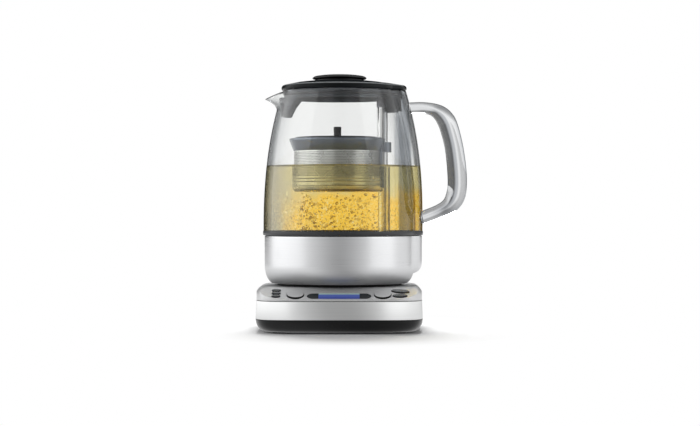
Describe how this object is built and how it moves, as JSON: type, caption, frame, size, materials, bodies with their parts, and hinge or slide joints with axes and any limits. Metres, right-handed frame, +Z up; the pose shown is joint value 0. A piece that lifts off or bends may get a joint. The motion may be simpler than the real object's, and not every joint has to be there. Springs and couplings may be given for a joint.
{
  "type": "automatic tea maker",
  "caption": "Automatic tea maker: a lift-off glass jug with a steel foot and a motor-lifted tea basket, on a power base with a sloped control panel.",
  "frame": {"origin": "centre of the whole object's box, on the surface that it stands on; the jug's axis is 22.9 mm to -X of it", "axes": "+Z up, the control panel faces -Y, the handle points to +X and the pouring lip to -X"},
  "size_m": [0.2092, 0.176, 0.2538],
  "materials": {
    "black_plastic": "fine-grained black",
    "rubber": "matte black",
    "brushed_steel": "brushed round the body",
    "silver_cover": "satin silver",
    "dark_key": "dark grey",
    "silver_key": "satin silver",
    "display_glass": "clear window over a blue display",
    "board_green": "circuit board",
    "brass": "plain",
    "jug_glass": "clear",
    "dark_seal": "dark grey",
    "polished_steel": "polished",
    "lid_black": "gloss, near black",
    "smoke_grey": "smoked grey",
    "basket_grey": "grey",
    "magnet": "plated magnet",
    "gear_plastic": "natural nylon"
  },
  "bodies": {
    "power_base": {"base_bottom_shell": "black_plastic", "base_foot_1": "rubber", "base_foot_2": "rubber", "base_foot_3": "rubber", "base_foot_4": "rubber", "base_screw_1": "polished_steel", "base_screw_2": "polished_steel", "base_screw_3": "polished_steel", "base_screw_4": "polished_steel", "base_steel_band": "brushed_steel", "base_top_cover": "silver_cover", "display_window": "display_glass", "display_module": "dark_seal", "control_board": "board_green", "power_board": "board_green", "sounder": "black_plastic", "cord_inlet": "black_plastic", "connector_socket": "black_plastic", "socket_contact_ring": "brass"},
    "small_key_top": {"button_small_top": "dark_key"},
    "small_key_middle": {"button_small_middle": "dark_key"},
    "small_key_bottom": {"button_small_bottom": "dark_key"},
    "round_key_left": {"button_round_left": "silver_key"},
    "round_key_right": {"button_round_right": "silver_key"},
    "oval_key_upper": {"button_oval_upper": "dark_key"},
    "oval_key_lower": {"button_oval_lower": "dark_key"},
    "jug": {"glass_jug": "jug_glass", "glass_handle": "jug_glass", "seal_ring": "dark_seal", "jug_steel_shell": "brushed_steel", "heater_gasket": "rubber", "heater_plate": "brushed_steel", "heating_element": "polished_steel", "temperature_sensor": "polished_steel", "boil_dry_cutout": "smoke_grey", "jug_bottom_cover": "black_plastic", "jug_connector": "black_plastic", "jug_contact_pin": "brass", "lift_motor": "polished_steel", "post_tube": "polished_steel", "post_cap": "basket_grey"},
    "basket": {"basket_carriage": "basket_grey", "carriage_magnet": "magnet", "basket_rim": "basket_grey", "basket_strainer": "brushed_steel", "basket_lid": "basket_grey", "basket_lid_knob": "black_plastic"},
    "nut": {"magnet_nut": "magnet"},
    "screw": {"lead_screw": "polished_steel", "screw_gear": "gear_plastic"},
    "pinion": {"motor_pinion": "gear_plastic"},
    "lid": {"lid_shell": "lid_black", "lid_knob": "lid_black", "lid_insert": "smoke_grey", "lid_seal": "rubber"}
  },
  "joints": [
    {"name": "jug_lift", "type": "slide", "parent": "power_base", "child": "jug", "axis": [0, 0, 1], "range_m": [0, 0.06]},
    {"name": "lid_lift", "type": "slide", "parent": "jug", "child": "lid", "axis": [0, 0, 1], "range_m": [0, 0.07]},
    {"name": "basket_lift", "type": "slide", "parent": "jug", "child": "basket", "axis": [0, 0, 1], "range_m": [-0.036, 0.033]},
    {"name": "nut_slide", "type": "slide", "parent": "jug", "child": "nut", "axis": [0, 0, 1], "range_m": [-0.0362, 0.0332]},
    {"name": "screw_spin", "type": "hinge", "parent": "jug", "child": "screw", "pos_m": [0.0199, 0, 0.06], "axis": [0, 0, 1], "range_deg": [-497, 542]},
    {"name": "pinion_spin", "type": "hinge", "parent": "jug", "child": "pinion", "pos_m": [0.0199, 0.016, 0.06], "axis": [0, 0, 1], "range_deg": [-1263, 1158]},
    {"name": "small_key_top_press", "type": "slide", "parent": "power_base", "child": "small_key_top", "axis": [0, 0.3773, -0.9261], "range_m": [0, 0.0008], "stiffness_N_per_m": 1500, "springref_m": -0.0004},
    {"name": "small_key_middle_press", "type": "slide", "parent": "power_base", "child": "small_key_middle", "axis": [0, 0.3773, -0.9261], "range_m": [0, 0.0008], "stiffness_N_per_m": 1500, "springref_m": -0.0004},
    {"name": "small_key_bottom_press", "type": "slide", "parent": "power_base", "child": "small_key_bottom", "axis": [0, 0.3773, -0.9261], "range_m": [0, 0.0008], "stiffness_N_per_m": 1500, "springref_m": -0.0004},
    {"name": "round_key_left_press", "type": "slide", "parent": "power_base", "child": "round_key_left", "axis": [0, 0.3773, -0.9261], "range_m": [0, 0.0008], "stiffness_N_per_m": 1500, "springref_m": -0.0004},
    {"name": "round_key_right_press", "type": "slide", "parent": "power_base", "child": "round_key_right", "axis": [0, 0.3773, -0.9261], "range_m": [0, 0.0008], "stiffness_N_per_m": 1500, "springref_m": -0.0004},
    {"name": "oval_key_upper_press", "type": "slide", "parent": "power_base", "child": "oval_key_upper", "axis": [0, 0.3773, -0.9261], "range_m": [0, 0.0008], "stiffness_N_per_m": 1500, "springref_m": -0.0004},
    {"name": "oval_key_lower_press", "type": "slide", "parent": "power_base", "child": "oval_key_lower", "axis": [0, 0.3773, -0.9261], "range_m": [0, 0.0008], "stiffness_N_per_m": 1500, "springref_m": -0.0004}
  ],
  "couplings": [
    {"joint": "nut_slide", "follows": "basket_lift", "ratio": 1},
    {"joint": "screw_spin", "follows": "basket_lift", "rad_per_m": -261.8},
    {"joint": "pinion_spin", "follows": "basket_lift", "rad_per_m": 610.87}
  ]
}
